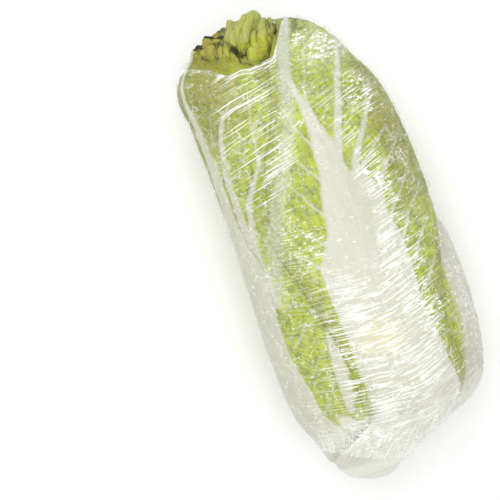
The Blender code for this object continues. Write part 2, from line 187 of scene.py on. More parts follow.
# How finely each leaf is divided: columns, rows, and the share of the columns on the smaller-turn side.
LEAF_GRIDS = {
    "leaf_front": (140, 270, 0.62),
    "leaf_left": (130, 240, 0.52),
    "leaf_right": (110, 210, 0.5),
    "leaf_back": (70, 140, 0.5),
    "leaf_inner_left": (50, 120, 0.5),
    "leaf_inner_right": (50, 120, 0.5),
    "leaf_inner_front": (90, 190, 0.5),
}

BLADE_RECESS = 0.0015  # how far the blade lies under the crest of its rib
BLADE_LAYER = 0.0036  # the most that a blade and its waves take up beside the rib
BLADE_THICKNESS = 0.0010
EDGE_THICKNESS = 0.0006
VEIN_HEIGHT = 0.0010  # how far a side vein stands up from the blade
PUCKER = 0.0011  # how far the blade puffs up between its veins
RUFFLE = 0.0011  # how far the blade's edge waves in and out
RUFFLE_LENGTH = 0.011
EDGE_SLOPE = 0.014  # how far from its edge the film starts to press a blade onto the leaf under it
EDGE_SCALLOP = 0.045
RIB_GROOVE = 0.00022
FOOT_CHAMFER = 0.0009
CELL_SIZE = 0.0062  # how wide the puffed cells between the finest veins are
GREEN_START = 0.262  # the share of the way up the head below which a leaf is white all over

# The ribs that face the camera, as rows of: y, and x of the rib's two edges, seen from above, in millimetres.
FRONT_RIB = np.array(
    (
        (-140, -20, 45), (-118, -19, 44), (-99, -18, 42), (-76, -18, 41), (-57, -18, 39), (-36, -19, 40),
        (-16, -18, 41), (7, -6, 38), (26, -2, 37), (38, 1, 25.5), (61, 4, 19), (81, 5, 14), (104, 4.6, 8.2),
        (116, 3.2, 5.6), (126, 5.2, 2.4), (138, 9, 4), (152, 16, 11),
    )
)
LEFT_RIB = np.array(
    (
        (-140, -90, -38), (-120, -90, -44), (-103, -90, -50), (-86, -90, -53.5), (-67, -90, -56.5),
        (-47, -90, -57), (-28, -90, -56), (6, -90, -55.5), (20, -90, -59.5), (50, -90, -60.5),
        (70, -90, -59), (85, -90, -60), (100, -90, -61), (110, -90, -62), (118, -90, -66),
        (126, -90, -71), (134, -90, -76),
    )
)

# The veins that face the camera, seen from above. Each is a path of x, y and half its width, in millimetres.
FRONT_VEINS = (
    ((10, 86, 1.1), (12, 94, 1.0), (14, 106, 0.9), (20, 122, 0.7), (24, 136, 0.5)),
    ((17, 46, 3.4), (21, 58, 3.0), (28, 78, 2.4), (34, 96, 2.0), (41, 113, 1.6), (44, 128, 0.8)),
    ((24, 33, 3.0), (30, 47, 2.2), (42, 65, 1.5), (53, 82, 0.9)),
    ((26, 28, 2.6), (34, 42, 1.8), (44, 51, 1.2), (57, 61, 0.8)),
    ((34, 18, 2.4), (41, 29, 1.6), (50, 40, 1.2), (61, 52, 0.7)),
    ((38, 2, 1.6), (50, 16, 1.1), (63, 34, 0.6)),
    ((40, -14, 1.5), (52, 2, 1.0), (65, 18, 0.6)),
    ((40, -34, 1.4), (52, -18, 0.9), (65, -4, 0.5)),
    ((40, -54, 1.3), (52, -39, 0.9), (65, -24, 0.5)),
    ((41, -74, 1.2), (53, -59, 0.8), (66, -46, 0.5)),
    ((42, -94, 1.1), (53, -80, 0.8), (64, -67, 0.5)),
    ((31, 91, 0.9), (36, 108, 0.7), (38, 124, 0.4)),
    ((48, 74, 0.8), (52, 92, 0.6), (55, 104, 0.4)),
    ((5, 62, 1.1), (-4, 84, 0.8), (-8, 104, 0.5)),
    ((2, 40, 1.1), (-9, 60, 0.8), (-16, 78, 0.5)),
    ((-3, 18, 1.1), (-16, 38, 0.8), (-24, 54, 0.5)),
    ((-10, 0, 1.1), (-24, 16, 0.8), (-36, 32, 0.5)),
    ((-17, -16, 1.0), (-32, 0, 0.7), (-44, 14, 0.4)),
)
LEFT_VEINS = (
    (
        (-56, -14, 3.4), (-57, 5, 3.0), (-58, 22, 2.5), (-57, 49, 2.1), (-56, 66, 1.9), (-51, 92, 1.6),
        (-39, 110, 1.1),
    ),
    (
        (-55, -28, 3.2), (-56, 5, 2.8), (-54, 22, 2.3), (-49, 40, 2.0), (-40, 54, 1.7), (-34, 62, 1.4),
        (-29, 94, 0.9),
    ),
    ((-29, 94, 0.9), (-25, 112, 0.6), (-22, 124, 0.4)),
    ((-50, 29, 1.0), (-37, 34, 0.8), (-25, 43, 0.5)),
    ((-55, 7, 1.1), (-39, 23, 0.9), (-25, 30, 0.6)),
    ((-53, -12, 1.0), (-46, -4, 0.9), (-34, 2, 0.6)),
    ((-54, -36, 1.0), (-42, -27, 0.8), (-28, -24, 0.5)),
    ((-52, -58, 1.0), (-40, -48, 0.8), (-27, -43, 0.5)),
    ((-50, -82, 1.0), (-38, -70, 0.8), (-27, -63, 0.5)),
    ((-29, -58, 1.4), (-29, -76, 4.2), (-30, -95, 4.4), (-31, -112, 2.4)),
    ((-47, -104, 0.9), (-36, -90, 0.7), (-26, -82, 0.5)),
    ((-56, 64, 0.9), (-46, 82, 0.7), (-36, 98, 0.4)),
    ((-42, 52, 0.8), (-42, 72, 0.7), (-36, 86, 0.4)),
    ((-34, 64, 0.8), (-20, 84, 0.6), (-14, 98, 0.4)),
    ((-31, 84, 0.7), (-18, 104, 0.5), (-12, 118, 0.4)),
    ((-60, 84, 0.8), (-54, 104, 0.6), (-46, 118, 0.4)),
)
FACING = {"leaf_front": (FRONT_RIB, FRONT_VEINS), "leaf_left": (LEFT_RIB, LEFT_VEINS)}

# Side veins where a leaf isn't seen from above, as rows of: along where it leaves the rib, how many metres it
# climbs for each metre outwards, and half its width where it leaves.
SIDE_VEINS = (
    (0.300, 1.15, 0.0009),
    (0.365, 1.20, 0.0011),
    (0.425, 1.25, 0.0012),
    (0.480, 1.35, 0.0014),
    (0.530, 1.60, 0.0016),
    (0.575, 1.90, 0.0018),
    (0.640, 2.00, 0.0014),
    (0.700, 1.50, 0.0011),
    (0.755, 1.30, 0.0009),
    (0.805, 1.10, 0.0008),
)
# Where a side vein forks, and how steeply it climbs from there.
VEIN_BRANCHES = ((0.16, 0.45), (0.36, 0.55), (0.58, 0.6))

STEM_ALONG = 0.235  # where the stem's side ends inside the head
STEM_GAP_START = 0.085
STEM_GAP = 0.0016  # how far it lies under the leaves' layers beyond there
STEM_CORE_END = (-0.004, -0.072, 0.058)  # the tip of the core that it sends up into the heart
STEM_CORE_SHARE = 0.2  # of the stem's rows, the share that makes its core
STEM_GRID = (110, 150)
CUT_CENTRE = (-0.028, -0.1580, 0.0500)  # a point of the flat face that the knife left
CUT_NORMAL = (-0.25, -0.95, -0.18)

HEART_ALONG = 0.262  # where the heart's side starts above the stem
HEART_TOP_ALONG = 0.92  # and where it ends under its leaf tips
HEART_GAP = 0.0014  # how far it lies under the innermost leaves' layers
HEART_FOOT = (-0.004, -0.062, 0.058)
HEART_TOP = (-0.004, 0.1465, 0.0525)
HEART_SINK = 0.0045  # how far the heart's body lies under its leaf tips
HEART_SINK_START = 0.66
HEART_FOOT_ROWS = 3
HEART_SIDE_ROWS = 11
HEART_TOP_ROWS = 1
HEART_ROW_SPLITS = 6  # how many faces each of those rows is divided into
HEART_COLUMNS = 80
# The curled leaf tips, as rows of: the turn of the middle and half the spread in degrees, along at the root
# and at the top edge, depth under the leaves round it (over them where it is negative), number of folds, how
# deep the folds are, and how olive it is.
TIPS = (
    (142, 62, 0.745, 0.895, 0.0012, 11, 0.0022, 0.9),
    (318, 66, 0.745, 0.885, 0.0030, 9, 0.0016, 0.7),
    (92, 74, 0.745, 0.962, 0.0052, 10, 0.0020, 0.5),
    (232, 70, 0.745, 0.890, 0.0030, 9, 0.0016, 0.7),
    (20, 70, 0.745, 0.940, 0.0040, 8, 0.0016, 0.5),
    (101, 20, 0.775, 0.955, -0.0022, 6, 0.0030, 0.0),
    (92, 22, 0.800, 0.988, 0.0030, 9, 0.0022, 0.5),
    (121, 17, 0.770, 0.925, -0.0026, 6, 0.0034, 0.6),
    (142, 18, 0.775, 0.885, -0.0024, 8, 0.0034, 1.0),
    (162, 16, 0.780, 0.845, -0.0014, 7, 0.0026, 0.9),
    (132, 26, 0.800, 0.940, 0.0010, 9, 0.0030, 1.0),
    (112, 26, 0.800, 0.972, -0.0004, 9, 0.0028, 0.3),
    (78, 25, 0.800, 0.985, 0.0010, 6, 0.0014, 0.5),
)
FADED = 0.56  # how pale the tips are at the far end
HIDDEN_TIPS = (318, 232, 20)  # the middles of those that are turned away, which are divided less finely
TIP_GRID = (96, 44)
HIDDEN_TIP_GRID = (60, 24)
TIP_THICKNESS = 0.0010
FILM_GRID = (130, 290)
FILM_TOP_SHARE = 0.68  # of the film's columns, the share that lies over the top of the head
FILM_REST_DEPTH = 0.00078  # how deep its outer face lies where it is smooth
WRINKLE_HEIGHT = 0.00035
FOLD_HEIGHT = 0.00055
GATHER_HEIGHT = 0.0004  # of the gathers round the stem
# The film's seam, seen from above, as x and y in metres.
FILM_SEAM = (
    (0.015, 0.150),
    (0.006, 0.126),
    (-0.001, 0.102),
    (-0.008, 0.078),
    (-0.026, 0.045),
    (-0.044, 0.010),
    (-0.052, -0.024),
)
# Where the film shines most, as ovals: x and y of the middle and half the sizes in millimetres, and how much.
GLARE_PATCHES = (
    (-12, -131, 18, 8, 0.8),
    (-31, -124, 12, 9, 1.1),
    (32, 123, 16, 12, 0.9),
    (19, 133, 6, 7, 1.2),
    (44, 86, 10, 17, 0.8),
    (36, 32, 13, 14, 0.8),
    (30, -20, 14, 60, 0.5),
    (38, -58, 10, 22, 0.9),
    (0, -95, 32, 26, 0.3),
    (-24, 6, 18, 24, 0.6),
)
FILM_THICKNESS = 0.00012
FILM_GLOW = 0.10  # stands in for the light that its creases gather from all round

# What colours leaf tissue: the names of its masks, and of its two kinds of colour.
# The hollow mask and the Deep Green colour are painted shade.
FLESH_MASKS = ("pale", "stain", "rib", "vein", "net", "hollow", "olive")
GREENS = ("Green", "Old Green", "Shade Green", "Olive")
WHITES = ("Rib White", "Rib Yellow")

SMALLEST_MERGE = 0.000002  # points closer than this become one

CAMERA_OVER = (-0.0582, 0.0131)  # the point of the floor that the camera looks straight down on
CAMERA_HEIGHT = 1.36
CAMERA_LEAN = math.radians(20)  # how far the head leans to the left in the picture
VIEW_WIDTH = 0.3345  # how much of the head's middle plane the picture takes in
HEAD_MIDDLE = 0.060

# The lights, as rows of: name, place, size of the panel in metres, and power in watts.
LIGHTS = (
    ("overhead", (-0.05, 0.15, 1.9), (1.5, 1.5), 16.0),
    ("far strip", (-0.15, 1.00, 1.15), (1.3, 0.22), 5.0),
    ("near strip", (0.25, -0.95, 1.15), (1.2, 0.16), 3.0),
)
ROOM_LIGHT = 0.44
FLOOR_Z = -0.0005


def smooth_through(stations, values, at):
    """A smooth curve through values at the stations, read at each point of at."""
    at = np.clip(at, stations[0], stations[-1])
    i = np.clip(np.searchsorted(stations, at) - 1, 0, len(stations) - 2)
    slopes = np.gradient(values, stations)
    step = stations[i + 1] - stations[i]
    t = (at - stations[i]) / step
    start = (1 + 2 * t) * (1 - t) ** 2 * values[i] + t * (1 - t) ** 2 * step * slopes[i]
    end = t**2 * (3 - 2 * t) * values[i + 1] - t**2 * (1 - t) * step * slopes[i + 1]
    return start + end


def ease(x):
    """0 below 0, 1 above 1, and a smooth rise between them."""
    x = np.clip(x, 0, 1)
    return x * x * (3 - 2 * x)


def off_join_at(turn):
    """0 where a piece that goes round the head meets itself, and 1 away from there."""
    return ease(np.minimum(turn, 2 * math.pi - turn) / 0.2)


def ring_values(along):
    return [smooth_through(RING_STATIONS, RINGS[:, column], along) for column in range(RINGS.shape[1])]


def radius_at(along):
    _, _, half_width, _, half_height, _ = ring_values(along)
    return np.maximum((half_width + half_height) / 2, LEAST_RADIUS)


def outside_at(turn, along):
    """Points of the head's outside, flat below at z = 0, and the directions from them towards its axis."""
    y, x_middle, half_width, z_middle, half_height, lead = ring_values(along)
    outside = np.stack(
        (
            x_middle + half_width * np.cos(turn),
            y - lead * np.cos(turn),
            np.maximum(z_middle + half_height * np.sin(turn), 0.0),
        ),
        axis=-1,
    )
    axis_y = AXIS_REACH * np.tanh(y / AXIS_REACH)
    inwards = np.stack((x_middle, axis_y, z_middle), axis=-1) - outside
    return outside, inwards / np.linalg.norm(inwards, axis=-1)[..., None]


def puffed(outside):
    """How far crumpled leaf stands out, from 0 in its creases to 1 on the pleats between them."""
    x, y, z = outside[..., 0], outside[..., 1], outside[..., 2]
    total = 0
    for width, length, share, seed in PLEATS:
        wander = 1.3 * soft_noise(x / 0.013, y / 0.009, seed + 3)
        noise = soft_noise((x - 0.3 * y + 0.4 * z) / width + wander, (y - 0.6 * z) / length, seed)
        total = total + share * np.minimum(np.abs(3.6 * noise - 1.8), 1)
    return total


def place(turn, along, depth):
    """Points of the head, as rows of x, y and z. Free leaf tips are crumpled, all neighbours alike."""
    outside, inwards = outside_at(turn, along)
    x, y, z = outside[..., 0], outside[..., 1], outside[..., 2]
    sway = [soft_noise((x + 0.5 * z) / 0.012, (y - 0.6 * z) / 0.012, seed) - 0.5 for seed in (60, 64, 68)]
    moved = TIP_SWAY * np.stack(sway, axis=-1) - inwards * (TIP_PUFF * (puffed(outside) - 0.5))[..., None]
    return outside + inwards * depth[..., None] + moved * loose(turn, along)[..., None]


def creased(turn, along):
    """1 in the creases of the crumpled leaf tips, and 0 on their puffs and under the film."""
    return (1 - ease((puffed(outside_at(turn, along)[0]) - 0.12) / 0.70)) * loose(turn, along)


def across(angle):
    """An angle brought between minus half a turn and half a turn."""
    return (angle + math.pi) % (2 * math.pi) - math.pi


def station(leaf, along):
    """The midrib's turn, half the rib's width, and the reach to both sides, where the leaf crosses along."""
    columns = [smooth_through(leaf.stations[:, 0], leaf.stations[:, n], along) for n in range(1, 5)]
    return np.radians(columns[0]), columns[1], columns[2], columns[3]


def layer_thickness(along):
    return smooth_through(LAYER_STATIONS, LAYER_THICKNESS, along)


def room_for(leaf, turn, along):
    """How thick the leaf's layer is: full under its rib, thin under its blade, thinnest near the tips."""
    midrib, rib, _, _ = station(leaf, along)
    beside = np.abs(across(turn - midrib)) * radius_at(along) / rib
    full = layer_thickness(along)
    blade = np.minimum(full, BLADE_LAYER)
    room = blade + (full - blade) * (1 - ease((beside - 0.8) / 0.7))
    return room * (1 - 0.5 * ease((along - 0.84) / 0.10))


def cover(leaf, turn, along):
    """1 under the leaf, and down to 0 as the layers beneath it rise to the surface beyond its edge."""
    midrib, _, low_reach, high_reach = station(leaf, along)
    offset = across(turn - midrib) * radius_at(along)
    beyond_side = np.where(offset < 0, -offset - low_reach, offset - high_reach)
    beyond_tip = (along - leaf.tip) * LENGTH_OF_ALONG
    below_foot = (leaf.foot - along) * LENGTH_OF_ALONG
    blanket = BLANKET_AT_STEM + (BLANKET - BLANKET_AT_STEM) * ease((along - 0.13) / 0.17)
    beside = 1 - ease((np.maximum(beyond_side, beyond_tip) - 0.002) / blanket)
    return beside * (1 - ease((below_foot - 0.003) / 0.012))


def ceiling(count, turn, along):
    """The depth at which the layer under the film and under the first count leaves starts."""
    total = np.full(np.shape(turn), FILM_ROOM)
    free = loose(turn, along)
    gap = LEAF_GAP * (0.35 + 0.65 * ease((along - 0.14) / 0.1))
    for leaf in LEAVES[:count]:
        taken = room_for(leaf, turn, along) + gap
        total = total + taken * cover(leaf, turn, along) * (1 - 0.55 * free)
    pleats = np.sin(13 * turn + 30 * along + 3 * soft_noise(turn * 4, along * 20, 66))
    return total - (TIP_RISE + TIP_PLEAT * pleats) * free


def mouth_line(turn):
    return np.interp(turn % (2 * math.pi), MOUTH_TURNS, MOUTH_ALONG)


def mouth_at(turn):
    """How far along the head the film reaches at each turn, with its ragged edge."""
    ragged = layered_noise(3 * np.cos(turn) + 9, 3 * np.sin(turn) + 9, 21, 4) - 0.5
    return mouth_line(turn) + MOUTH_RAGGED * ragged


def loose(turn, along):
    """1 where the leaf tips stand free of the film, and 0 under it."""
    turn = turn % (2 * math.pi)
    from_right = ease((turn - math.radians(56)) / math.radians(16))
    from_left = 1 - ease((turn - math.radians(184)) / 0.8)
    return ease((along - mouth_line(turn) - 0.010) / 0.050) * (from_right * from_left)


RANDOM = np.random.default_rng(7).random((256, 256))


def soft_noise(x, y, seed=0):
    """Smooth noise from 0 to 1 that changes over about 1 of x and y."""
    x = x + 17.3 * seed
    y = y + 41.7 * seed
    column = np.floor(x).astype(int)
    row = np.floor(y).astype(int)
    fx = ease(x - column)
    fy = ease(y - row)

    def lattice(i, j):
        return RANDOM[(column + i) % 256, (row + j) % 256]

    low = lattice(0, 0) * (1 - fx) + lattice(1, 0) * fx
    high = lattice(0, 1) * (1 - fx) + lattice(1, 1) * fx
    return low * (1 - fy) + high * fy


def layered_noise(x, y, seed=0, octaves=3):
    """Noise with finer noise on it, from about 0 to 1."""
    total = 0
    weight = 0
    for octave in range(octaves):
        total = total + soft_noise(x * 2**octave, y * 2**octave, seed + octave) / 2**octave
        weight += 1 / 2**octave
    return total / weight


def cells(x, y, seed=0):
    """Irregular cells about 1 wide: how far a point is from the nearest cell border, 0 on it."""
    column = np.floor(x).astype(int)
    row = np.floor(y).astype(int)
    nearest = np.full(np.shape(x), 9.0)
    second = np.full(np.shape(x), 9.0)
    for i in (-1, 0, 1):
        for j in (-1, 0, 1):
            centre_x = column + i + 0.15 + 0.7 * RANDOM[(column + i + seed) % 256, (row + j) % 256]
            centre_y = row + j + 0.15 + 0.7 * RANDOM[(row + j + 91) % 256, (column + i + seed) % 256]
            distance = np.hypot(x - centre_x, y - centre_y)
            second = np.where(distance < nearest, nearest, np.minimum(second, distance))
            nearest = np.minimum(nearest, distance)
    return second - nearest


def side_veins(leaf, outward, length_up, side, reach):
    """How strongly each point of a blade lies on a side vein or one of its forks, from 0 to 1."""
    strength = np.zeros(np.shape(outward))
    shift = 0.5 if side > 0 else 0.0
    seed = 3 + LEAVES.index(leaf) * 2 + (1 if side > 0 else 0)
    wobble = 0.004 * (soft_noise(outward / 0.02, length_up / 0.03, seed) - 0.5)
    for number, (along, climb, half_width) in enumerate(SIDE_VEINS):
        jitter = RANDOM[seed, number] - 0.5
        start = (along + 0.022 * (shift + jitter)) * LENGTH_OF_ALONG
        _, rib, _, _ = station(leaf, np.array(start / LENGTH_OF_ALONG))
        climb = climb * (1 + 0.3 * (RANDOM[seed + 40, number] - 0.5))
        paths = [(float(rib) * 0.6, start, climb, half_width)]
        for fork, fork_climb in VEIN_BRANCHES:
            out = float(rib) + fork * 0.09
            fork_start = start + climb * (out - float(rib) * 0.6)
            paths.append((out, fork_start, climb * fork_climb, half_width * 0.55))
        for out, low, slope, width in paths:
            beyond = outward - out
            bend = 1 + 3.0 * np.clip(beyond, 0, None)
            gap = np.abs(length_up + wobble - low - slope * beyond * bend) / math.hypot(1, slope)
            here = width * np.clip(1.1 - beyond / np.maximum(reach - out, 0.01), 0.22, 1)
            on_it = ease(1.6 - gap / here) * ease((beyond + 0.002) / 0.004)
            strength = np.maximum(strength, on_it * (0.45 + 0.55 * here / 0.004))
    return np.clip(strength, 0, 1)


def as_seen(points):
    """x and y of the points where the camera sees them against the head's middle plane."""
    share = (CAMERA_HEIGHT - HEAD_MIDDLE) / (CAMERA_HEIGHT - points[..., 2])
    over_x, over_y = CAMERA_OVER
    return over_x + (points[..., 0] - over_x) * share, over_y + (points[..., 1] - over_y) * share


def vein_paths(x, y, paths):
    """How strongly points seen from above lie on the paths, from 0 to 1."""
    strength = np.zeros(np.shape(x))
    for path in paths:
        rows = np.array(path) * MM
        for (x0, y0, w0), (x1, y1, w1) in zip(rows, rows[1:]):
            dx, dy = x1 - x0, y1 - y0
            share = np.clip(((x - x0) * dx + (y - y0) * dy) / (dx * dx + dy * dy), 0, 1)
            gap = np.hypot(x - x0 - share * dx, y - y0 - share * dy)
            width = w0 + (w1 - w0) * share
            strength = np.maximum(strength, ease(1.5 - gap / width) * np.clip(0.35 + width / 0.0026, 0, 1))
    return strength


def patch(x, y, middle_x, middle_y, half_x, half_y):
    """1 in the middle of an oval seen from above, and a soft fall to 0 at its border. All in millimetres."""
    away = np.hypot((x / MM - middle_x) / half_x, (y / MM - middle_y) / half_y)
    return 1 - ease((away - 0.55) / 0.6)


def olive_zone(turn, along):
    """1 where the leaves are dull olive: on the shoulders near the tips and at the top of the open side."""
    x, y = as_seen(place(turn, along, 0 * turn))
    spots = layered_noise(x / 0.018, y / 0.018, 12)
    top_left = ease((y - 0.070 - 0.5 * (x + 0.060)) / 0.030) * ease((-0.018 - x) / 0.020)
    shoulder = ease((x - 0.044) / 0.012) * ease((y + 0.01) / 0.03)
    low_side = 0.5 * ease((-0.07 - y) / 0.05) * ease((x - 0.03) / 0.02)
    behind = ease(-3 * np.sin(turn))
    zones = np.maximum.reduce((top_left, shoulder, low_side, behind * 0.6))
    return np.clip(zones * (0.55 + 0.8 * spots), 0, 1)


def leaf_lines(number, turn, along, offset, to_edge):
    """Where a leaf is rib and where it is vein, each from 0 to 1."""
    leaf = LEAVES[number]
    midrib, rib, low_reach, high_reach = station(leaf, along)
    outward = np.abs(offset)
    length_up = along * LENGTH_OF_ALONG
    on_rib = 1 - ease((outward / rib - 0.62) / 0.5)
    veins = np.where(
        offset < 0,
        side_veins(leaf, outward, length_up, -1, low_reach),
        side_veins(leaf, outward, length_up, 1, high_reach),
    )
    if leaf.name in FACING:
        edges, paths = FACING[leaf.name]
        x, y = as_seen(place(turn, along, ceiling(number, turn, along) + BLADE_RECESS / 2))
        x = x + 0.0026 * (layered_noise(x / 0.011, y / 0.011, 30 + number) - 0.5)
        y = y + 0.0040 * (layered_noise(x / 0.013, y / 0.009, 34 + number) - 0.5)
        left = smooth_through(edges[:, 0] * MM, edges[:, 1] * MM, y)
        right = smooth_through(edges[:, 0] * MM, edges[:, 2] * MM, y)
        inside = np.minimum(x - left, right - x)
        seen = ease(0.3 + 4 * np.sin(turn))
        if leaf.name == "leaf_left":
            seen = seen * ease((midrib - turn) / 0.06)
        facing_rib = ease(0.5 + inside / 0.0030)
        if leaf.name == "leaf_left":
            facing_rib = facing_rib * (1 - 0.5 * ease((y - 0.055) / 0.05))
        on_rib = on_rib + (facing_rib - on_rib) * seen
        veins = veins + (vein_paths(x, y, paths) - veins) * seen
    veins = veins * ease((to_edge - 0.001) / 0.01)
    return on_rib, veins


def leaf_surface(number, q, t, inner):
    """Points of a leaf's two faces, and the masks that colour them. q runs across it and t up it."""
    leaf = LEAVES[number]
    along = leaf.foot + (leaf.tip - leaf.foot) * t
    midrib, rib, low_reach, high_reach = station(leaf, along)
    reach = np.where(q < 0, low_reach, high_reach)
    length_up = along * LENGTH_OF_ALONG
    scallop = EDGE_SCALLOP * (soft_noise(length_up / 0.012, q * 0 + number, number) * 1.2)
    tatters = layered_noise(length_up / 0.007, np.sign(q) + number, number + 3)
    ragged = 0.22 * ease((along - 0.76) / 0.05) * tatters
    reach = reach * (1 - scallop - ragged)
    offset = q * reach
    turn = midrib + offset / radius_at(along)
    to_edge = (1 - np.abs(q)) * reach
    near_edge = 1 - ease(to_edge / 0.016)
    on_rib, veins = leaf_lines(number, turn, along, offset, to_edge)
    blade = 1 - on_rib

    warp = 0.5 * layered_noise(offset / 0.012, length_up / 0.012, number + 60, 2)
    border = cells(offset / CELL_SIZE + warp, length_up / (CELL_SIZE * 1.3) + warp, number)
    small = cells(offset / CELL_SIZE * 2.4, length_up / CELL_SIZE * 2.0 + warp, number + 5)
    puff = ease(border / 0.5) * 0.7 + ease(small / 0.6) * 0.3
    swell = layered_noise(offset / 0.016, length_up / 0.022, number + 70, 2) - 0.5

    relief = -PUCKER * (puff - 0.45) * (1 - veins) - 0.0012 * swell
    relief = relief * (1 - 0.6 * ease((np.abs(np.cos(turn)) - 0.7) / 0.25)) * blade
    relief = relief + BLADE_RECESS * blade - VEIN_HEIGHT * veins * blade
    groove = soft_noise(offset / 0.0021, length_up / 0.09, number + 20) - 0.5
    relief = relief + RIB_GROOVE * groove * on_rib * 2
    ruffle = np.sin(2 * math.pi * length_up / RUFFLE_LENGTH + 5 * soft_noise(length_up / 0.02, q, number))
    relief = relief + RUFFLE * ruffle * near_edge * blade * (0.45 + 2.05 * loose(turn, along))
    relief = np.maximum(relief, 0.0)

    thickness = room_for(leaf, turn, along)
    thick_rib = 1 - ease((np.abs(offset) / rib - 0.62) / 0.5)
    sheet = BLADE_THICKNESS + (EDGE_THICKNESS - BLADE_THICKNESS) * near_edge
    pressed = (1 - ease(to_edge / EDGE_SLOPE)) * (1 - loose(turn, along)) * (1 - thick_rib)
    relief = relief + np.maximum(thickness - sheet - relief, 0) * pressed
    inner_face = np.minimum(relief + sheet + (thickness - sheet) * thick_rib * 0.98, thickness)
    foot = 1 - ease(t / 0.05)
    outer_face = np.minimum(relief * (1 - 0.8 * foot) + FOOT_CHAMFER * foot, inner_face - 0.0003)
    depth = ceiling(number, turn, along) + np.where(inner > 0.5, inner_face, outer_face)
    fringe = 0.09 * (layered_noise(offset / 0.005, length_up / 0.030, number) - 0.5)
    low = 1 - ease((along - GREEN_START - fringe) / 0.060)
    x, y = as_seen(place(turn, along, 0 * turn))
    stain = patch(x, y, 3, -73, 20, 13) * layered_noise(x / 0.006, y / 0.006, 5) * 1.5
    # Painted shade: curled darkens curled leaf edges near the top, and the hollow mask darkens cell borders
    # and tip creases.
    curled = patch(x, y, 24, 148, 13, 7) * ease((layered_noise(x / 0.004, y / 0.004, 15) - 0.42) / 0.12)
    hollow = np.maximum.reduce((0.65 * (1 - ease(puff / 0.60)), creased(turn, along), curled))
    masks = {
        # Whiter feet near the stem: partly their own white, partly painted light that lifts the shade on
        # their steep sides.
        "pale": low * (1 - 0.55 * ease((along - 0.125) / 0.035)),
        "stain": np.clip(stain, 0, 1) * ease(3 * np.sin(turn)),
        "rib": np.maximum(on_rib, low),
        "vein": np.maximum.reduce((on_rib, veins, low, 0.42 * (1 - ease((along - 0.27) / 0.13)))),
        "net": (1 - ease(border / 0.16)) * blade,
        "hollow": hollow * blade,
        "olive": np.maximum(olive_zone(turn, along), 0.8 * near_edge * blade * (1 - low)),
    }
    return place(turn, along, depth), masks


def unit_grid(columns, rows):
    grid = bmesh.new()
    bmesh.ops.create_grid(grid, x_segments=columns, y_segments=rows, size=0.5)
    bmesh.ops.translate(grid, vec=(0.5, 0.5, 0.0), verts=grid.verts)
    return grid


def add_second_face(grid):
    """Makes the grid a slab of height 1, with walls round its border."""
    made = bmesh.ops.extrude_face_region(grid, geom=grid.faces, use_keep_orig=True)
    raised = [item for item in made["geom"] if isinstance(item, bmesh.types.BMVert)]
    bmesh.ops.translate(grid, vec=(0.0, 0.0, 1.0), verts=raised)


def open_seam(grid):
    """Deletes the walls at x = 0 and x = 1, where the slab will meet itself round the head."""
    walls = [
        face
        for face in grid.faces
        if all(vert.co.x < 1e-4 for vert in face.verts) or all(vert.co.x > 1 - 1e-4 for vert in face.verts)
    ]
    bmesh.ops.delete(grid, geom=walls, context="FACES")


def bend_grid(name, grid, surface_of):
    """Turns the unit grid into an object. surface_of gives the points and masks for its x, y and z."""
    mesh = bpy.data.meshes.new(name)
    grid.to_mesh(mesh)
    grid.free()
    flat = np.empty(len(mesh.vertices) * 3, dtype=np.float32)
    mesh.vertices.foreach_get("co", flat)
    x, y, z = flat.reshape(-1, 3).T.astype(float)
    points, masks = surface_of(x, y, z)
    mesh.vertices.foreach_set("co", points.astype(np.float32).ravel())
    for mask_name, values in masks.items():
        layer = mesh.attributes.new(mask_name, "FLOAT", "POINT")
        layer.data.foreach_set("value", np.broadcast_to(values, x.shape).astype(np.float32))
    close_up = bmesh.new()
    close_up.from_mesh(mesh)
    bmesh.ops.remove_doubles(close_up, verts=close_up.verts, dist=SMALLEST_MERGE)
    bmesh.ops.recalc_face_normals(close_up, faces=close_up.faces)
    close_up.to_mesh(mesh)
    close_up.free()
    mesh.shade_smooth()
    made = bpy.data.objects.new(name, mesh)
    bpy.context.scene.collection.objects.link(made)
    return made


def stand_for(piece, node):
    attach(piece, "root")
    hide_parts(node)


def make_leaf(number, material):
    leaf = LEAVES[number]
    columns, rows, low_share = LEAF_GRIDS[leaf.name]
    grid = unit_grid(columns, rows)
    add_second_face(grid)

    def surface(x, y, z):
        q = np.where(x < low_share, (x - low_share) / low_share, (x - low_share) / (1 - low_share))
        return leaf_surface(number, q, y, z)

    piece = bend_grid(leaf.name.replace("leaf_", "") + "_leaf", grid, surface)
    piece.data.materials.append(material)
    stand_for(piece, leaf.name)


def flesh_masks(**given):
    """All the masks that colour leaf tissue: those given, and 0 for the others."""
    return {name: given.get(name, 0.0) for name in FLESH_MASKS}


def heart_surface(x, y, _):
    turn = 2 * math.pi * x
    row = y * (HEART_FOOT_ROWS + HEART_SIDE_ROWS + HEART_TOP_ROWS) - HEART_FOOT_ROWS
    along = HEART_ALONG + (HEART_TOP_ALONG - HEART_ALONG) * np.clip(row / HEART_SIDE_ROWS, 0, 1)
    sink = HEART_GAP + (HEART_SINK - HEART_GAP) * ease((along - HEART_SINK_START) / 0.10)
    off_join = off_join_at(turn)
    crinkle = 0.0008 * layered_noise(turn * 8, along * 60, 4) * off_join
    side = place(turn, along, ceiling(len(LEAVES), turn, along) + sink + crinkle)
    below = np.clip(-row / HEART_FOOT_ROWS, 0, 1)[..., None]
    above = np.clip((row - HEART_SIDE_ROWS) / HEART_TOP_ROWS, 0, 1)[..., None]
    points = side + (np.array(HEART_FOOT) - side) * below
    points = points + (np.array(HEART_TOP) - points) * above
    # The heart's body, deep among the tips, gets half of the painted shade.
    return points, flesh_masks(hollow=0.5, olive=0.6)


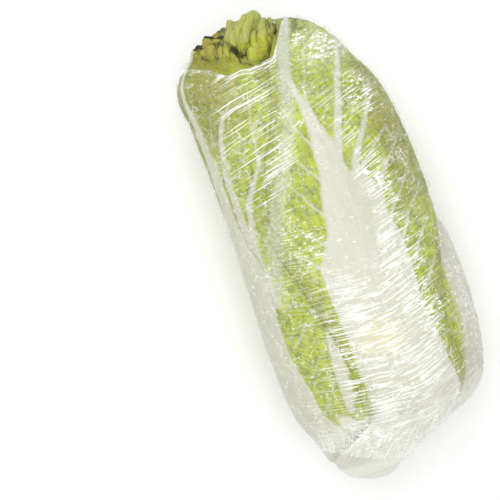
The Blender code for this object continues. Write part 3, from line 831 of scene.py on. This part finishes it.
def tip_points(row, x, y):
    """One curled leaf tip of the heart: a sheet whose free edge is gathered into folds that curl over."""
    middle, spread, root, top, depth, folds, fold_depth, _ = row
    y = np.clip(y, 0, 1)
    q = 2 * x - 1
    base_turn = math.radians(middle) + math.radians(spread) * q
    wave = 2 * math.pi * (folds * x + 0.45 * soft_noise(x * 5, y * 1.5, middle))
    small = 2 * math.pi * (folds * 2.7 * x + 0.8 * soft_noise(x * 9, y * 3, middle + 5))
    gathered = y**1.3
    frilled = y**3
    ends = 1 - 0.35 * np.abs(q) ** 3
    edge = 0.016 * (layered_noise(x * folds * 1.3, y * 0.7, middle) - 0.5)
    along = root + (top - root) * ends * y + edge * gathered
    turn = base_turn - (0.45 * fold_depth * gathered * np.sin(2 * wave)) / radius_at(along)
    lies = ceiling(len(LEAVES), turn, along) + depth * ease(y / 0.5) + HEART_SINK * (1 - ease(y / 0.5))
    relief = fold_depth * gathered * np.sin(wave) + 0.0011 * frilled * np.sin(small)
    puckers = 0.0005 * layered_noise(turn * 16, along * 110, middle) * (1 - frilled)
    return place(turn, along, np.maximum(lies + relief - puckers, -0.006))


def tip_surface(row, x, y, z):
    """The two faces of a curled tip, and the masks that colour it."""
    step = 0.002
    points = tip_points(row, x, y)
    beside = tip_points(row, x + step, y) - tip_points(row, x - step, y)
    above = tip_points(row, x, y + step) - tip_points(row, x, y - step)
    normal = np.cross(above, beside)
    normal = normal / np.maximum(np.linalg.norm(normal, axis=-1), 1e-12)[:, None]
    middle, spread, root, top, _, folds, _, olive = row
    turn = math.radians(middle) + math.radians(spread) * (2 * x - 1)
    along = root + (top - root) * y
    wave = folds * x + 0.45 * soft_noise(x * 5, y * 1.5, middle)
    ribs = ease(1 - np.abs((wave * 1.5) % 1 - 0.5) / 0.09) * (1 - y) * 0.7
    # Painted shade in the troughs of the folds and in the creases.
    hollow = 0.5 + 0.5 * np.sin(2 * math.pi * wave)
    threads = 1 - ease(np.abs(soft_noise(x * folds * 4, y * 5, middle + 9) - 0.5) / 0.10)
    seen_x, seen_y = as_seen(points)
    faded = 0.12 + (FADED - 0.12) * ease((seen_y - 0.142) / 0.006) * ease((seen_x + 0.030) / 0.010)
    dulled = olive * (0.4 + 1.1 * layered_noise(x * 6, y * 3, middle)) + 0.4 * (y > 0.93)
    masks = flesh_masks(
        vein=np.maximum(ribs, faded + 0.22 * threads),
        hollow=np.maximum(ease(hollow * 1.2) * y**0.5 * 0.5, creased(turn, along) * (1 + 0.5 * olive)),
        olive=np.clip(dulled, 0, 1),
    )
    return points + normal * (TIP_THICKNESS * z)[:, None], masks


def make_heart(material):
    """The inner leaves: a body that holds them, and the curled tips that stand out of it."""
    rows = HEART_FOOT_ROWS + HEART_SIDE_ROWS + HEART_TOP_ROWS
    body = bend_grid("heart_body", unit_grid(HEART_COLUMNS, rows * HEART_ROW_SPLITS), heart_surface)
    body.data.materials.append(material)
    stand_for(body, "heart")
    for number, row in enumerate(TIPS):
        grid = unit_grid(*(HIDDEN_TIP_GRID if row[0] in HIDDEN_TIPS else TIP_GRID))
        add_second_face(grid)
        tip = bend_grid(f"heart_tip_{number}", grid, lambda x, y, z, row=row: tip_surface(row, x, y, z))
        tip.data.materials.append(material)
        stand_for(tip, "heart")


def stem_surface(x, y, _):
    """The stem's side and core. What would stand out beyond the knife's cut is brought onto its flat face."""
    turn = 2 * math.pi * x
    side_share = 1 - STEM_CORE_SHARE
    along = STEM_ALONG * np.minimum(y / side_share, 1)
    under_leaves = ease((along - STEM_GAP_START) / 0.03)
    off_join = off_join_at(turn)
    groove = 0.0004 * soft_noise(turn * 9, along * 12, 2) * ease((along - 0.03) / 0.03) * off_join
    depth = ceiling(len(LEAVES), turn, along) + STEM_GAP * under_leaves + groove
    side = place(turn, along, depth)
    inwards = np.clip((y - side_share) / STEM_CORE_SHARE, 0, 1)[..., None]
    points = side + (np.array(STEM_CORE_END) - side) * inwards
    normal = np.array(CUT_NORMAL) / np.linalg.norm(CUT_NORMAL)
    beyond = np.maximum((points - np.array(CUT_CENTRE)) @ normal, 0.0)
    from_middle = np.linalg.norm(points - np.array(CUT_CENTRE), axis=-1)
    waver = 3 * off_join * soft_noise(turn * 2, from_middle / 0.01, 4)
    rings = 0.00018 * np.sin(from_middle / 0.0016 + waver)
    sunk = (beyond > 0) * (0.0004 + rings)
    return points - normal * (beyond + sunk)[..., None], {}


def make_stem(material):
    """The cut stem, which the knife left flat."""
    piece = bend_grid("cut_stem", unit_grid(*STEM_GRID), stem_surface)
    piece.data.set_sharp_from_angle(angle=math.radians(35))
    piece.data.materials.append(material)
    stand_for(piece, "stem")


def path_distance(x, y, path):
    """How far each point is from a line of straight runs, in metres."""
    nearest = np.full(np.shape(x), 9.0)
    for (x0, y0), (x1, y1) in zip(path, path[1:]):
        dx, dy = x1 - x0, y1 - y0
        share = np.clip(((x - x0) * dx + (y - y0) * dy) / (dx * dx + dy * dy), 0, 1)
        nearest = np.minimum(nearest, np.hypot(x - x0 - share * dx, y - y0 - share * dy))
    return nearest


def film_surface(q, t, inner):
    """Points of the film's two faces, pulled tight over the head with fine wrinkles, and its masks."""
    over_top = q / FILM_TOP_SHARE
    underneath = (q - FILM_TOP_SHARE) / (1 - FILM_TOP_SHARE)
    turn = np.where(q < FILM_TOP_SHARE, over_top * math.pi, math.pi + underneath * math.pi)
    mouth = mouth_at(turn)
    stem_edge = FILM_STEM_EDGE - FILM_STEM_SLANT * np.cos(turn) + FILM_STEM_LIFT * np.cos(turn) ** 2
    along = stem_edge + (mouth - stem_edge) * t
    x, y, _ = place(turn, along, 0 * turn).T
    front = ease(np.sin(turn) * 3)
    arc = across(turn - math.pi / 2) * radius_at(along)

    # The wrinkles run across the head. Right of the rib's middle they rise, and left of it they fall low down
    # on the head and rise high up on it.
    rise_left = -0.16 + 0.38 * ease((y - 0.005) / 0.03)
    beside_rib = x - 0.010
    bend = np.hypot(beside_rib, 0.012)
    rise = 0.17 * (beside_rib + bend) + 0.5 * rise_left * (beside_rib - bend)
    over = y - rise + 0.004 * (layered_noise(x / 0.030, y / 0.020, 1) - 0.5)
    streak = soft_noise(arc / 0.045, over / 0.0030, 2)
    where = layered_noise(arc / 0.030, y / 0.024, 5)
    bare_rib = patch(x, y, 6, 22, 26, 62)
    middle_line = np.exp(-(((x - 0.008) / 0.006) ** 2)) * ease((0.0 - y) / 0.03)
    smooth_side = ease((np.abs(x) - 0.050) / 0.014)
    field = ease((where - 0.26) / 0.22) * (1 - 0.95 * bare_rib)
    field = field * (1 - 0.6 * middle_line) * (1 - 0.8 * smooth_side)
    # Where the painted highlight streaks of the wrinkles are strongest.
    upper_left = patch(x, y, -32, 80, 24, 50)
    right_rib = patch(x, y, 27, -20, 20, 95)
    low_rib = patch(x, y, -2, -78, 34, 54)
    upper_right = np.maximum(patch(x, y, 43, 86, 11, 18), patch(x, y, 34, 33, 14, 15))
    long_mask = np.clip(field * 0.20 + upper_left * 0.75 + upper_right, 0, 1)
    fine_mask = np.clip(field * 0.20 + right_rib + low_rib + 0.7 * upper_right + 0.15 * upper_left, 0, 1)
    fine_mask = fine_mask * (1 - bare_rib)

    # The film is bunched along its seam, at its mouth and round the stem, where it is milkier and carries
    # more painted glints.
    upper_seam = ease((y - 0.085) / 0.03)
    off_seam = path_distance(x, y, FILM_SEAM)
    seam = 0.6 * (1 - 0.5 * upper_seam) * np.exp(-((off_seam / 0.0042) ** 2)) * front
    milky = (0.28 + 0.72 * upper_seam) * (1 - ease((off_seam - 0.0028) / 0.0020)) * front
    to_mouth = (1 - t) * (mouth - stem_edge) * LENGTH_OF_ALONG
    at_mouth = 0.5 * (1 - ease(to_mouth / 0.007))
    gathered_lines = (1 - ease((t - 0.05) / 0.16)) * front * (1 - 0.6 * smooth_side)
    at_stem = 1 - ease((t - 0.02) / 0.14)
    shoulder = patch(x, y, 32, 122, 20, 16)
    right_side = 0.45 * patch(x, y, 68, -75, 9, 62)
    bunched = np.clip(np.maximum.reduce((seam, at_mouth, at_stem * 0.3, shoulder * 0.5, right_side)), 0, 1)
    glare = np.maximum.reduce([strength * patch(x, y, *oval) for *oval, strength in GLARE_PATCHES])
    fold = ease((layered_noise(x / 0.0032, y / 0.0032, 8) - 0.5) / 0.18)
    off_join = off_join_at(turn)
    gathers = ease((soft_noise(turn * 16, t * 4, 9) - 0.5) / 0.25) * off_join

    lines = ease((streak - 0.55) / 0.3)
    height = WRINKLE_HEIGHT * lines * np.maximum(long_mask, fine_mask) + FOLD_HEIGHT * fold * bunched
    height = height + GATHER_HEIGHT * gathers * at_stem
    depth = np.clip(FILM_REST_DEPTH - height, 0, FILM_REST_DEPTH) + FILM_THICKNESS * inner
    masks = {
        "streak_along": arc,
        "streak_over": over,
        "long_streaks": long_mask,
        "fine_streaks": fine_mask,
        "bunched": bunched,
        "fold": fold * bunched,
        "glare": glare,
        "milky": milky,
        "calm": bare_rib,
        "to_mouth": to_mouth,
        "mouth_lines": (1 - ease((to_mouth - 0.003) / 0.006)) * front * ease((x + 0.038) / 0.012),
        "gathered_lines": gathered_lines,
    }
    return place(turn, along, depth), masks


def make_film(material):
    grid = unit_grid(*FILM_GRID)
    add_second_face(grid)
    open_seam(grid)
    film = bend_grid("film_wrap", grid, film_surface)
    film.data.materials.append(material)
    stand_for(film, "film")
    film.visible_shadow = False


def new_material(name):
    material = bpy.data.materials.new(name)
    material.use_nodes = True
    tree = material.node_tree
    return material, tree, tree.nodes["Principled BSDF"]


def add_node(tree, kind, settings=None, **inputs):
    """A node of the kind, with its properties set and each input linked to a socket or given a value."""
    node = tree.nodes.new(kind)
    for key, value in (settings or {}).items():
        setattr(node, key, value)
    for key, value in inputs.items():
        socket = node.inputs[int(key[1:])] if key[0] == "i" and key[1:].isdigit() else node.inputs[key]
        if isinstance(value, bpy.types.NodeSocket):
            tree.links.new(value, socket)
        else:
            socket.default_value = value
    return node


def mask_of(tree, name):
    node = tree.nodes.new("ShaderNodeAttribute")
    node.attribute_name = name
    return node.outputs["Fac"]


def mixed(tree, share, first, second):
    node = add_node(tree, "ShaderNodeMix", {"data_type": "RGBA"}, i0=share, i6=first, i7=second)
    return node.outputs[2]


def ranged(tree, value, low, high, to_low=0.0, to_high=1.0):
    limits = {"i1": low, "i2": high, "i3": to_low, "i4": to_high}
    return add_node(tree, "ShaderNodeMapRange", {"clamp": True}, i0=value, **limits).outputs[0]


def calculated(tree, operation, first, second):
    return add_node(tree, "ShaderNodeMath", {"operation": operation}, i0=first, i1=second).outputs[0]


def multiplied(tree, first, second):
    return calculated(tree, "MULTIPLY", first, second)


def added(tree, first, second):
    return calculated(tree, "ADD", first, second)


def noise_at(tree, scale, detail=3.0, stretch=(1, 1, 1)):
    place_node = add_node(tree, "ShaderNodeTexCoord")
    mapping = add_node(tree, "ShaderNodeMapping", None, Vector=place_node.outputs["Object"], Scale=stretch)
    noise = add_node(tree, "ShaderNodeTexNoise", None, Vector=mapping.outputs[0], Scale=scale, Detail=detail)
    return noise.outputs["Fac"]


def colour(red, green, blue):
    """A colour given as it looks on a screen, from 0 to 255."""
    steps = [value / 255 for value in (red, green, blue)]
    return (*[v / 12.92 if v <= 0.04045 else ((v + 0.055) / 1.055) ** 2.4 for v in steps], 1.0)


def leaf_flesh():
    """A node group that colours leaf tissue: green cells with painted shade in their hollows, pale veins and
    a white rib.
    """
    group = bpy.data.node_groups.new("leaf flesh", "ShaderNodeTree")
    for name in (*GREENS, *WHITES, "Base White", "Stain"):
        group.interface.new_socket(name, in_out="INPUT", socket_type="NodeSocketColor")
    results = {"Colour": "NodeSocketColor", "Roughness": "NodeSocketFloat", "Height": "NodeSocketFloat"}
    for name, kind in results.items():
        group.interface.new_socket(name, in_out="OUTPUT", socket_type=kind)
    given = group.nodes.new("NodeGroupInput").outputs
    rib = mask_of(group, "rib")
    vein = mask_of(group, "vein")
    broad = noise_at(group, 22.0, 3.0)
    crinkle = noise_at(group, 330.0, 4.0)
    fine = noise_at(group, 900.0, 3.0)
    tint = added(group, broad, multiplied(group, noise_at(group, 90.0, 2.0), 0.6))
    green = mixed(group, ranged(group, tint, 0.68, 0.92), given["Green"], given["Old Green"])
    green = mixed(group, multiplied(group, mask_of(group, "olive"), 0.9), green, given["Olive"])
    # Painted shade: noise pockets, fine specks and the hollow mask pull the green towards Deep Green.
    shade_pockets = ranged(group, noise_at(group, 150.0, 3.0, (1.0, 0.6, 1.0)), 0.48, 0.30)
    specks = ranged(group, noise_at(group, 420.0, 2.0), 0.44, 0.34)
    dark = added(group, multiplied(group, shade_pockets, 0.45), mask_of(group, "hollow"))
    dark = added(group, dark, multiplied(group, specks, 0.3))
    green = mixed(group, ranged(group, dark, 0.10, 1.15, 0.0, 0.95), green, given["Shade Green"])
    pale = mixed(group, multiplied(group, mask_of(group, "net"), 0.34), green, given["Rib White"])
    lines = noise_at(group, 60.0, 4.0, (9.0, 0.35, 9.0))
    white = mixed(group, ranged(group, lines, 0.35, 0.72), given["Rib White"], given["Rib Yellow"])
    white = mixed(group, mask_of(group, "pale"), white, given["Base White"])
    white = mixed(group, multiplied(group, mask_of(group, "stain"), 0.45), white, given["Stain"])
    flesh = mixed(group, ranged(group, vein, 0.2, 0.8), pale, white)
    grain = ranged(group, fine, 0.3, 0.7, -0.06, 0.08)
    rough = added(group, grain, ranged(group, rib, 0.0, 1.0, 0.5, 0.4))
    height = added(group, multiplied(group, crinkle, 2.2), fine)
    height = multiplied(group, height, ranged(group, rib, 0.0, 0.6, 1.0, 0.05))
    out = group.nodes.new("NodeGroupOutput").inputs
    group.links.new(flesh, out["Colour"])
    group.links.new(rough, out["Roughness"])
    group.links.new(height, out["Height"])
    return group


def flesh_material(name, flesh, greens, whites, bump=0.6):
    material, tree, shader = new_material(name)
    group = tree.nodes.new("ShaderNodeGroup")
    group.node_tree = flesh
    for socket, value in zip(GREENS, greens):
        group.inputs[socket].default_value = value
    for socket, value in zip(WHITES, whites):
        group.inputs[socket].default_value = value
    # Base White, for the feet, is partly painted light on their steep sides.
    group.inputs["Base White"].default_value = colour(246, 246, 234)
    group.inputs["Stain"].default_value = colour(228, 220, 168)
    bumped = add_node(
        tree, "ShaderNodeBump", None, Height=group.outputs["Height"], Strength=bump, Distance=0.0010
    )
    tree.links.new(group.outputs["Colour"], shader.inputs["Base Color"])
    tree.links.new(group.outputs["Roughness"], shader.inputs["Roughness"])
    tree.links.new(bumped.outputs[0], shader.inputs["Normal"])
    shader.inputs["Specular IOR Level"].default_value = 0.4
    return material


def stem_material():
    """Pale stem flesh with soft blotches and fine darker specks."""
    material, tree, shader = new_material("stem flesh")
    blotch = noise_at(tree, 60.0, 4.0)
    fine = noise_at(tree, 700.0, 3.0)
    base = mixed(tree, ranged(tree, blotch, 0.35, 0.7), colour(243, 243, 231), colour(234, 233, 216))
    base = mixed(tree, ranged(tree, fine, 0.55, 0.8, 0.0, 0.4), base, colour(222, 221, 200))
    bumped = add_node(tree, "ShaderNodeBump", None, Height=fine, Strength=0.3, Distance=0.0005)
    tree.links.new(base, shader.inputs["Base Color"])
    tree.links.new(ranged(tree, blotch, 0.3, 0.7, 0.42, 0.6), shader.inputs["Roughness"])
    tree.links.new(bumped.outputs[0], shader.inputs["Normal"])
    return material


def streaks(tree, length, spacing, low, high, seed, run="streak_along", step="streak_over"):
    """Painted highlights as white lines, about length long along run and spacing apart along step, and the
    noise behind them.
    """
    along = calculated(tree, "DIVIDE", mask_of(tree, run), length)
    over = calculated(tree, "DIVIDE", mask_of(tree, step), spacing)
    place_node = add_node(tree, "ShaderNodeCombineXYZ", None, X=along, Y=over, Z=seed)
    noise = add_node(tree, "ShaderNodeTexNoise", None, Vector=place_node.outputs[0], Scale=1.0, Detail=1.0)
    return ranged(tree, noise.outputs["Fac"], low, high), noise.outputs["Fac"]


def film_material():
    """Clear wrap: all but invisible where it lies flat, milky where it is creased, and with painted
    highlights on its creases.
    """
    material, tree, shader = new_material("clear film")
    bunched = mask_of(tree, "bunched")
    long_lines, long_height = streaks(tree, 0.044, 0.0012, 0.612, 0.655, 3.0)
    fine_lines, fine_height = streaks(tree, 0.016, 0.0012, 0.545, 0.61, 9.0)
    long_lines = multiplied(tree, long_lines, mask_of(tree, "long_streaks"))
    fine_lines = multiplied(tree, fine_lines, mask_of(tree, "fine_streaks"))
    mouth_lines, _ = streaks(tree, 0.011, 0.0015, 0.52, 0.60, 5.0, step="to_mouth")
    mouth_lines = multiplied(tree, mouth_lines, mask_of(tree, "mouth_lines"))
    stem_lines, _ = streaks(tree, 0.012, 0.0014, 0.55, 0.62, 7.0, run="streak_over", step="streak_along")
    stem_lines = multiplied(tree, stem_lines, mask_of(tree, "gathered_lines"))
    crumple = noise_at(tree, 210.0, 2.0, (1.0, 1.3, 1.0))
    off_middle = calculated(tree, "ABSOLUTE", calculated(tree, "SUBTRACT", crumple, 0.5), 0.0)
    glint_wires = ranged(tree, off_middle, 0.026, 0.010)
    broken = ranged(tree, noise_at(tree, 120.0, 1.0), 0.50, 0.58)
    glint_wires = multiplied(tree, glint_wires, calculated(tree, "MAXIMUM", broken, bunched))
    restless = ranged(tree, mask_of(tree, "calm"), 0.0, 1.0, 1.0, 0.15)
    glint_wires = multiplied(tree, glint_wires, restless)
    specks = ranged(tree, noise_at(tree, 620.0, 1.0, (0.7, 1.3, 1.0)), 0.65, 0.70)
    painted_glints = noise_at(tree, 300.0, 3.0, (0.6, 1.7, 1.0))
    painted_glints = added(tree, painted_glints, ranged(tree, mask_of(tree, "glare"), 0.0, 1.0, -0.06, 0.11))
    painted_glints = ranged(tree, painted_glints, 0.655, 0.69)
    edge_on = add_node(tree, "ShaderNodeLayerWeight", None, Blend=0.5).outputs["Facing"]
    # Over a faint haze, thicker where bunched, alpha adds white painted highlights and glints: streaks,
    # wires, specks, blots and folds; also the milky seam and edge-on milkiness.
    alpha = ranged(tree, bunched, 0.0, 1.0, 0.02, 0.10)
    for lines, strength in (
        (long_lines, 0.85),
        (fine_lines, 0.50),
        (mouth_lines, 0.75),
        (stem_lines, 0.42),
        (multiplied(tree, glint_wires, ranged(tree, bunched, 0.0, 0.8, 0.65, 1.0)), 0.60),
        (multiplied(tree, specks, ranged(tree, bunched, 0.0, 0.8, 0.25, 0.8)), 0.6),
        (painted_glints, 0.80),
        (mask_of(tree, "fold"), 0.22),
        (mask_of(tree, "milky"), 0.46),
        (ranged(tree, edge_on, 0.84, 1.0), 0.26),
    ):
        alpha = added(tree, alpha, multiplied(tree, lines, strength))
    height = added(tree, long_height, multiplied(tree, fine_height, 0.6))
    crumpled = multiplied(tree, crumple, ranged(tree, bunched, 0.0, 1.0, 0.12, 1.0))
    height = added(tree, height, crumpled)
    bumped = add_node(tree, "ShaderNodeBump", None, Height=height, Strength=0.25, Distance=0.0012)
    clear = colour(252, 253, 252)
    clouded = colour(202, 204, 190)
    milk = mixed(tree, ranged(tree, mask_of(tree, "milky"), 0.0, 0.4), clear, clouded)
    tree.links.new(milk, shader.inputs["Base Color"])
    shader.inputs["Roughness"].default_value = 0.12
    shader.inputs["IOR"].default_value = 1.7
    shader.inputs["Emission Color"].default_value = (1.0, 1.0, 1.0, 1.0)
    shader.inputs["Emission Strength"].default_value = FILM_GLOW
    tree.links.new(ranged(tree, alpha, 0.0, 0.95, 0.0, 0.95), shader.inputs["Alpha"])
    tree.links.new(bumped.outputs[0], shader.inputs["Normal"])
    return material


def add_camera():
    """A camera that looks straight down, turned so that the head leans to the left in the picture."""
    lens = bpy.data.cameras.new("camera")
    camera = bpy.data.objects.new("camera", lens)
    bpy.context.scene.collection.objects.link(camera)
    right = Vector((math.cos(CAMERA_LEAN), -math.sin(CAMERA_LEAN), 0.0))
    up = Vector((math.sin(CAMERA_LEAN), math.cos(CAMERA_LEAN), 0.0))
    turned = Matrix((right, up, Vector((0.0, 0.0, 1.0)))).transposed().to_4x4()
    turned.translation = (*CAMERA_OVER, CAMERA_HEIGHT)
    camera.matrix_world = turned
    lens.sensor_width = 36.0
    lens.lens = 36.0 * (CAMERA_HEIGHT - HEAD_MIDDLE) / VIEW_WIDTH
    lens.clip_start = 0.05
    bpy.context.scene.camera = camera


def add_panel_light(name, place_at, size, power, aim=(0.0, 0.0, 0.06)):
    light = bpy.data.lights.new(name, "AREA")
    light.shape = "RECTANGLE"
    light.size, light.size_y = size
    light.energy = power
    lamp = bpy.data.objects.new(name, light)
    bpy.context.scene.collection.objects.link(lamp)
    away = Vector(place_at) - Vector(aim)
    lamp.matrix_world = Matrix.Translation(place_at) @ away.to_track_quat("Z", "Y").to_matrix().to_4x4()


def add_light():
    for name, place_at, size, power in LIGHTS:
        add_panel_light(name, place_at, size, power)
    world = bpy.data.worlds.new("pale room")
    world.use_nodes = True
    world.node_tree.nodes["Background"].inputs["Color"].default_value = (1.0, 1.0, 1.0, 1.0)
    world.node_tree.nodes["Background"].inputs["Strength"].default_value = ROOM_LIGHT
    bpy.context.scene.world = world
    bpy.context.scene.view_settings.view_transform = "Standard"


def add_floor():
    grid = bmesh.new()
    bmesh.ops.create_grid(grid, x_segments=1, y_segments=1, size=3.0)
    mesh = bpy.data.meshes.new("floor")
    grid.to_mesh(mesh)
    grid.free()
    floor = bpy.data.objects.new("floor", mesh)
    bpy.context.scene.collection.objects.link(floor)
    floor.location.z = FLOOR_Z
    material, _, shader = new_material("pale floor")
    shader.inputs["Base Color"].default_value = (0.98, 0.98, 0.98, 1.0)
    shader.inputs["Roughness"].default_value = 0.9
    shader.inputs["Emission Color"].default_value = (1.0, 1.0, 1.0, 1.0)
    shader.inputs["Emission Strength"].default_value = 0.12
    mesh.materials.append(material)


def main():
    add_camera()
    flesh = leaf_flesh()
    # The third colour of each set of greens is the painted shade of hollows and creases, near black on the
    # inner leaves.
    greens = (colour(192, 206, 54), colour(172, 186, 34), colour(92, 112, 8), colour(160, 158, 50))
    bright = (colour(206, 214, 84), colour(186, 194, 60), colour(30, 32, 4), colour(172, 162, 80))
    outer = flesh_material("outer leaf", flesh, greens, (colour(214, 214, 198), colour(207, 207, 183)))
    left = flesh_material("left leaf", flesh, greens, (colour(213, 213, 192), colour(206, 206, 179)))
    # Painted shade: the leaves on the sides and back of the head get a copy with greyer, darker rib whites.
    shaded = flesh_material("side leaf", flesh, greens, (colour(206, 203, 186), colour(196, 193, 170)))
    inner = flesh_material("inner leaf", flesh, bright, (colour(190, 196, 120), colour(176, 182, 100)))
    chosen = {"leaf_front": outer, "leaf_left": left, "leaf_right": shaded, "leaf_back": shaded}
    for number, leaf in enumerate(LEAVES):
        make_leaf(number, chosen.get(leaf.name, inner))
    make_heart(inner)
    make_stem(stem_material())
    make_film(film_material())
    add_light()
    add_floor()


main()
